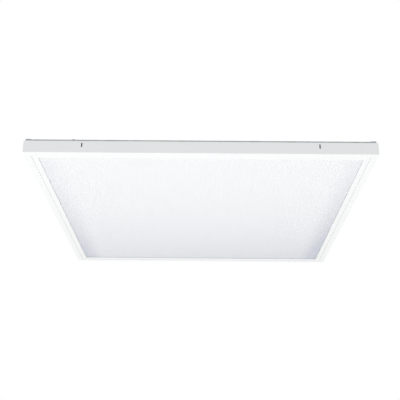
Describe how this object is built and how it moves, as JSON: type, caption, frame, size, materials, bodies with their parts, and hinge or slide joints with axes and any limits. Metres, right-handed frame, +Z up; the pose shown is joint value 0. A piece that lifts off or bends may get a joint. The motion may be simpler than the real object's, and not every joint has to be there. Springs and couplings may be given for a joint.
{
  "type": "recessed troffer light",
  "caption": "Slim square lay-in ceiling light with a hinged prismatic lens door, LED boards and a gear box on its back",
  "frame": {"origin": "middle of the square lower face, which rests on the ceiling grid and lies in z = 0", "axes": "+Z up into the ceiling, -Z the lit side, +X towards the cable gland, +Y towards the side that the lens door hangs from"},
  "size_m": [0.595, 0.595, 0.0544],
  "materials": {
    "white_powder_coat": "satin white powder coat, fine orange peel",
    "reflector_white": "matt high-reflectance white paint",
    "galvanised_steel": "hot-dip galvanised sheet with soft spangle",
    "zinc_plated_steel": "bright zinc plate, satin",
    "spring_steel": "rolled spring steel, satin",
    "fastener_steel": "zinc-plated, bright",
    "thumb_screw_nickel": "nickel plate",
    "rivet_aluminium": "plain aluminium, satin",
    "magnet_nickel": "nickel plate",
    "lens_acrylic": "clear prismatic sheet, slightly cool",
    "opal_film": "milky diffuser film",
    "board_white": "white solder mask",
    "chip_phosphor": "yellow phosphor gel in a white body",
    "optic_acrylic": "clear moulded acrylic",
    "connector_nylon": "natural nylon",
    "red_pvc": "red PVC insulation",
    "black_pvc": "black PVC insulation",
    "brown_pvc": "brown PVC insulation",
    "blue_pvc": "blue PVC insulation",
    "green_yellow_pvc": "green PVC insulation with a yellow stripe",
    "grommet_rubber": "black rubber",
    "driver_plastic": "fine textured white polycarbonate",
    "circuit_board": "green solder mask",
    "component_black": "black moulded and taped components",
    "terminal_grey": "grey polyamide",
    "lever_orange": "orange moulded plastic",
    "gland_grey": "light grey polyamide"
  },
  "bodies": {
    "housing": {"rail_front": "white_powder_coat", "rail_rear": "white_powder_coat", "rail_left": "white_powder_coat", "rail_right": "white_powder_coat", "reflector": "reflector_white", "back_cover": "galvanised_steel", "gear_box_tray": "galvanised_steel", "corner_brackets": "zinc_plated_steel", "hinge_brackets": "zinc_plated_steel", "catch_brackets": "zinc_plated_steel", "suspension_brackets": "zinc_plated_steel", "back_cover_screws": "fastener_steel", "earth_screw": "fastener_steel", "grid_clip_rivets": "fastener_steel", "cover_screw": "thumb_screw_nickel", "blind_rivets": "rivet_aluminium", "catch_magnets": "magnet_nickel", "led_board_1": "board_white", "led_board_2": "board_white", "led_board_3": "board_white", "led_board_4": "board_white", "led_board_5": "board_white", "led_board_6": "board_white", "led_chips": "chip_phosphor", "led_optics": "optic_acrylic", "board_connectors": "connector_nylon", "dc_leads_red": "red_pvc", "dc_leads_black": "black_pvc", "live_lead": "brown_pvc", "neutral_lead": "blue_pvc", "earth_lead": "green_yellow_pvc", "lead_grommet": "grommet_rubber", "driver_case": "driver_plastic", "driver_lid": "driver_plastic", "driver_board": "circuit_board", "driver_components": "component_black", "terminal_block": "terminal_grey", "cable_gland_body": "gland_grey", "gland_dome_nut": "gland_grey", "gland_locknut": "gland_grey"},
    "lens_door": {"door_rail_front": "white_powder_coat", "door_rail_rear": "white_powder_coat", "door_rail_left": "white_powder_coat", "door_rail_right": "white_powder_coat", "door_corner_keys": "zinc_plated_steel", "lens": "lens_acrylic", "diffuser_film": "opal_film", "lens_clips": "spring_steel", "hinge_leaves": "zinc_plated_steel", "hinge_pins": "fastener_steel", "door_strikes": "zinc_plated_steel"},
    "gear_box_cover": {"gear_box_cover": "galvanised_steel", "cover_hinge_pins": "fastener_steel"},
    "terminal_lever_1": {"terminal_lever_1": "lever_orange"},
    "terminal_lever_2": {"terminal_lever_2": "lever_orange"},
    "terminal_lever_3": {"terminal_lever_3": "lever_orange"},
    "grid_clip_1": {"grid_clip_1": "zinc_plated_steel"},
    "grid_clip_2": {"grid_clip_2": "zinc_plated_steel"},
    "grid_clip_3": {"grid_clip_3": "zinc_plated_steel"},
    "grid_clip_4": {"grid_clip_4": "zinc_plated_steel"}
  },
  "joints": [
    {"name": "lens_door_hinge", "type": "hinge", "parent": "housing", "child": "lens_door", "pos_m": [0, 0.2827, 0.0033], "axis": [1, 0, 0], "range_deg": [0, 90]},
    {"name": "gear_box_cover_hinge", "type": "hinge", "parent": "housing", "child": "gear_box_cover", "pos_m": [0, 0.1044, 0.0525], "axis": [-1, 0, 0], "range_deg": [0, 110]},
    {"name": "terminal_lever_1_pivot", "type": "hinge", "parent": "housing", "child": "terminal_lever_1", "pos_m": [0.097, 0.052, 0.0357], "axis": [0, 1, 0], "range_deg": [0, 90]},
    {"name": "terminal_lever_2_pivot", "type": "hinge", "parent": "housing", "child": "terminal_lever_2", "pos_m": [0.097, 0.06, 0.0357], "axis": [0, 1, 0], "range_deg": [0, 90]},
    {"name": "terminal_lever_3_pivot", "type": "hinge", "parent": "housing", "child": "terminal_lever_3", "pos_m": [0.097, 0.068, 0.0357], "axis": [0, 1, 0], "range_deg": [0, 90]},
    {"name": "grid_clip_1_swing", "type": "hinge", "parent": "housing", "child": "grid_clip_1", "pos_m": [-0.27, -0.2, 0.0237], "axis": [0, 0, 1], "range_deg": [0, 90]},
    {"name": "grid_clip_2_swing", "type": "hinge", "parent": "housing", "child": "grid_clip_2", "pos_m": [-0.27, 0.2, 0.0237], "axis": [0, 0, -1], "range_deg": [0, 90]},
    {"name": "grid_clip_3_swing", "type": "hinge", "parent": "housing", "child": "grid_clip_3", "pos_m": [0.27, -0.2, 0.0237], "axis": [0, 0, -1], "range_deg": [0, 90]},
    {"name": "grid_clip_4_swing", "type": "hinge", "parent": "housing", "child": "grid_clip_4", "pos_m": [0.27, 0.2, 0.0237], "axis": [0, 0, 1], "range_deg": [0, 90]}
  ]
}
